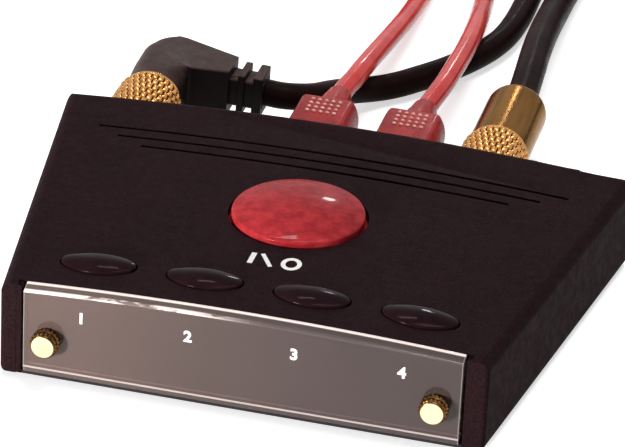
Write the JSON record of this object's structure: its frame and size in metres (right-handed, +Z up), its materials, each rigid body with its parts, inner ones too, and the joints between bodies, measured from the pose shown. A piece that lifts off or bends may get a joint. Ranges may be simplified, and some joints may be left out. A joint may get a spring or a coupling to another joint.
{
  "type": "optical audio switcher",
  "caption": "Low wedge-plan optical and coaxial audio switcher with oval source buttons, a round lit power button, a smoked clear front panel and leads plugged in at the rear.",
  "frame": {"origin": "on the table under the middle of the box, leads left out", "axes": "+X to the right seen from the front, +Y to the rear sockets, +Z up"},
  "size_m": [0.168, 0.3583, 0.0263],
  "materials": {
    "case_black": "fine-grained moulded, soft satin",
    "tray_black": "matt moulded",
    "rear_black": "matt",
    "smoked_clear": "clear smoked acrylic, polished edges",
    "backing_silver": "satin",
    "foot_rubber": "matt",
    "dark_steel": "blackened",
    "insert_brass": "plain",
    "board_green": "solder mask",
    "screw_steel": "zinc plated",
    "switch_black": "matt",
    "switch_cream": "matt",
    "led_red": "tinted lens",
    "chip_black": "matt",
    "capacitor_can": "drawn can",
    "socket_black": "matt",
    "shutter_grey": "matt",
    "gold": "gold plated, satin",
    "socket_white": "matt",
    "button_black": "polished",
    "power_red": "translucent, polished",
    "plug_black": "soft moulded",
    "lead_black": "satin jacket",
    "lead_red": "satin jacket",
    "plug_red": "soft satin moulded",
    "tie_black": "matt"
  },
  "bodies": {
    "case": {"top_cover": "case_black", "base_tray": "tray_black", "rear_panel": "rear_black", "front_panel": "smoked_clear", "panel_backing": "backing_silver", "rubber_feet": "foot_rubber", "case_screws": "dark_steel", "thread_inserts": "insert_brass", "main_board": "board_green", "control_board": "board_green", "board_screws": "screw_steel", "switch_bodies": "switch_black", "power_switch": "switch_cream", "button_leds": "led_red", "board_chips": "chip_black", "board_capacitors": "capacitor_can", "board_link": "switch_black", "optical_sockets": "socket_black", "open_shutters": "shutter_grey", "coax_bodies": "socket_black", "coax_shells": "gold", "coax_insulators": "socket_white", "coax_contacts": "gold", "dc_inlet": "socket_black", "dc_pin": "screw_steel", "angle_plug_ring": "gold", "angle_plug_body": "plug_black", "angle_lead": "lead_black", "angle_coil": "lead_black", "angle_far_plug": "gold", "straight_plug_collar": "gold", "straight_plug_barrel": "gold", "straight_lead": "lead_black", "straight_coil": "lead_black", "straight_far_plug": "gold", "plug_pins": "gold", "plug_insulators": "socket_white", "optical_plug_1": "plug_red", "optical_plug_2": "plug_red", "optical_lead_1": "lead_red", "optical_lead_2": "lead_red", "optical_coil_1": "lead_red", "optical_coil_2": "lead_red", "optical_far_plug_1": "plug_red", "optical_far_plug_2": "plug_red", "coil_ties": "tie_black"},
    "power_button": {"power_button": "power_red", "power_plunger": "switch_cream"},
    "left_screw": {"left_thumbscrew": "gold"},
    "right_screw": {"right_thumbscrew": "gold"},
    "shutter": {"socket_shutter": "shutter_grey"},
    "source_button_1": {"source_button_1": "button_black", "switch_plunger_1": "switch_cream"},
    "source_button_2": {"source_button_2": "button_black", "switch_plunger_2": "switch_cream"},
    "source_button_3": {"source_button_3": "button_black", "switch_plunger_3": "switch_cream"},
    "source_button_4": {"source_button_4": "button_black", "switch_plunger_4": "switch_cream"}
  },
  "joints": [
    {"name": "power_press", "type": "slide", "parent": "case", "child": "power_button", "axis": [0, 0, -1], "range_m": [0, 0.002], "stiffness_N_per_m": 500, "springref_m": -0.001},
    {"name": "source_press_1", "type": "slide", "parent": "case", "child": "source_button_1", "axis": [0, 0, -1], "range_m": [0, 0.0008], "stiffness_N_per_m": 1500, "springref_m": -0.0004},
    {"name": "source_press_2", "type": "slide", "parent": "case", "child": "source_button_2", "axis": [0, 0, -1], "range_m": [0, 0.0008], "stiffness_N_per_m": 1500, "springref_m": -0.0004},
    {"name": "source_press_3", "type": "slide", "parent": "case", "child": "source_button_3", "axis": [0, 0, -1], "range_m": [0, 0.0008], "stiffness_N_per_m": 1500, "springref_m": -0.0004},
    {"name": "source_press_4", "type": "slide", "parent": "case", "child": "source_button_4", "axis": [0, 0, -1], "range_m": [0, 0.0008], "stiffness_N_per_m": 1500, "springref_m": -0.0004},
    {"name": "left_screw_turn", "type": "hinge", "parent": "case", "child": "left_screw", "pos_m": [-0.0405, -0.04745, 0.0104], "axis": [0, 1, 0], "continuous": true},
    {"name": "right_screw_turn", "type": "hinge", "parent": "case", "child": "right_screw", "pos_m": [0.0405, -0.04745, 0.0104], "axis": [0, 1, 0], "continuous": true},
    {"name": "shutter_swing", "type": "hinge", "parent": "case", "child": "shutter", "pos_m": [-0.03, 0.04065, 0.0157], "axis": [-1, 0, 0], "range_deg": [0, 85], "stiffness_Nm_per_rad": 0.0004, "springref_deg": -11.46}
  ]
}
